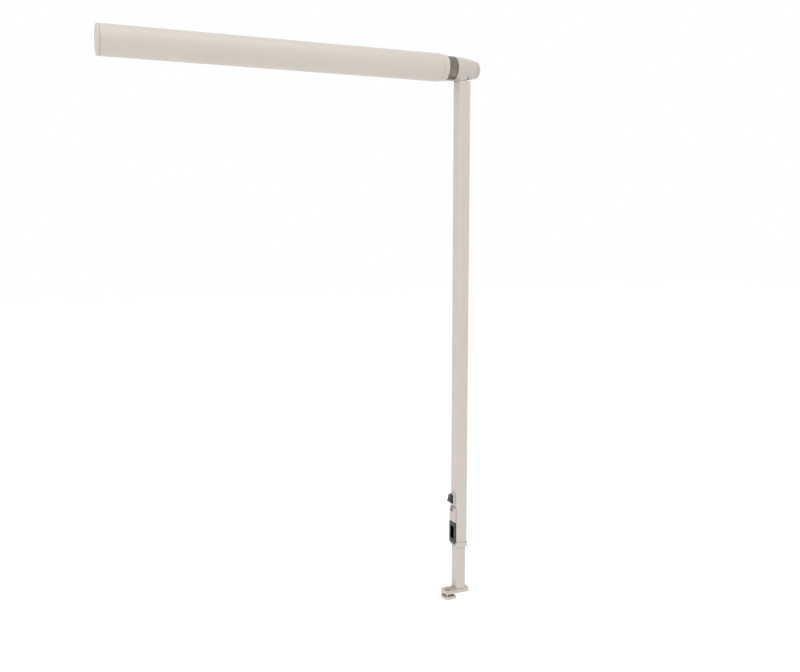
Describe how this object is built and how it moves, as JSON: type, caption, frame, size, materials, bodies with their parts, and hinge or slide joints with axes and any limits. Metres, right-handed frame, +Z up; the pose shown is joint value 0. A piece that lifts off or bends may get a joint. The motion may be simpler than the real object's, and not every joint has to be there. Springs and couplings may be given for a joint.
{
  "type": "furniture-mounted task lamp",
  "caption": "Tubular task lamp: a horizontal fluorescent head that turns on an elbow above a telescopic square column with an edge clamp.",
  "frame": {"origin": "underside of the foot plate, on the column's centre line", "axes": "+Z up the column; the head runs along -X, and the switch and the mains inlet face -X"},
  "size_m": [0.6547, 0.0499, 0.9994],
  "materials": {
    "painted_casting": "satin warm off-white powder coat",
    "painted_tube": "satin warm off-white powder coat",
    "dark_metal": "dark polished gunmetal",
    "black_plastic": "satin black moulding",
    "bright_steel": "zinc-plated",
    "brass_part": "turned",
    "white_plastic": "matt",
    "reflector_sheet": "white-coated sheet",
    "lamp_tube": "white phosphor-coated glass",
    "opal_plastic": "opal, satin",
    "black_rubber": "matt"
  },
  "bodies": {
    "foot": {"foot_casting": "painted_casting", "seat_pad": "black_rubber", "post_tube": "painted_tube", "post_screw_lower": "bright_steel", "post_screw_upper": "bright_steel", "guide_pin_front": "bright_steel", "guide_pin_rear": "bright_steel"},
    "jaw": {"clamp_jaw": "painted_casting"},
    "clamp_screw": {"clamp_screw": "painted_casting"},
    "column": {"column_tube": "painted_tube", "sliding_ring": "painted_casting", "lock_pad": "brass_part", "control_box": "painted_casting", "inlet_shell": "black_plastic", "inlet_pin_earth": "bright_steel", "inlet_pin_neutral": "bright_steel", "inlet_pin_line": "bright_steel", "inlet_screw_lower": "dark_metal", "inlet_screw_upper": "dark_metal", "breaker_body": "black_plastic", "breaker_bush": "bright_steel", "switch_bezel": "white_plastic", "switch_body": "black_plastic", "ballast": "white_plastic", "mains_loom": "white_plastic", "ballast_screw_lower": "bright_steel", "ballast_screw_upper": "bright_steel", "elbow_casting": "painted_casting", "nose_cap": "painted_casting", "elbow_screw_lower": "bright_steel", "elbow_screw_upper": "bright_steel", "lamp_loom": "white_plastic", "pivot_bush_outer": "brass_part", "pivot_bush_inner": "brass_part", "friction_washer": "black_rubber"},
    "lock_screw": {"lock_screw": "bright_steel"},
    "rocker": {"rocker": "black_plastic"},
    "reset_button": {"reset_button": "black_plastic"},
    "head": {"collar_ring": "dark_metal", "thrust_washer": "brass_part", "pivot_nut": "bright_steel", "pivot_tube": "bright_steel", "head_loom": "white_plastic", "near_cap": "painted_casting", "far_cap": "painted_casting", "head_tube": "painted_tube", "near_cap_screw": "bright_steel", "far_cap_screw": "bright_steel", "diffuser": "opal_plastic", "reflector": "reflector_sheet", "return_wire": "white_plastic", "lamp_glass": "lamp_tube", "lamp_cap_near": "bright_steel", "lamp_cap_far": "bright_steel", "lampholder_near": "white_plastic", "lampholder_far": "white_plastic"}
  },
  "joints": [
    {"name": "column_height", "type": "slide", "parent": "foot", "child": "column", "axis": [0, 0, 1], "range_m": [0, 0.12]},
    {"name": "head_aim", "type": "hinge", "parent": "column", "child": "head", "pos_m": [-0.015, 0, 0.965], "axis": [1, 0, 0], "range_deg": [-135, 45]},
    {"name": "rocker_tilt", "type": "hinge", "parent": "column", "child": "rocker", "pos_m": [-0.0125, 0, 0.1805], "axis": [0, -1, 0], "range_deg": [0, 28]},
    {"name": "reset_press", "type": "slide", "parent": "column", "child": "reset_button", "axis": [1, 0, 0], "range_m": [0, 0.0015], "stiffness_N_per_m": 300},
    {"name": "lock_turn", "type": "hinge", "parent": "column", "child": "lock_screw", "pos_m": [-0.0135, -0.005, 0.0926], "axis": [-1, 0, 0], "range_deg": [0, 180]},
    {"name": "clamp_turn", "type": "hinge", "parent": "foot", "child": "clamp_screw", "pos_m": [-0.0225, 0, 0], "axis": [0, 0, -1], "range_deg": [-720, 1080]},
    {"name": "jaw_lift", "type": "slide", "parent": "foot", "child": "jaw", "axis": [0, 0, 1], "range_m": [-0.0016, 0.0024]}
  ],
  "couplings": [
    {"joint": "clamp_turn", "follows": "jaw_lift", "rad_per_m": 7854}
  ]
}
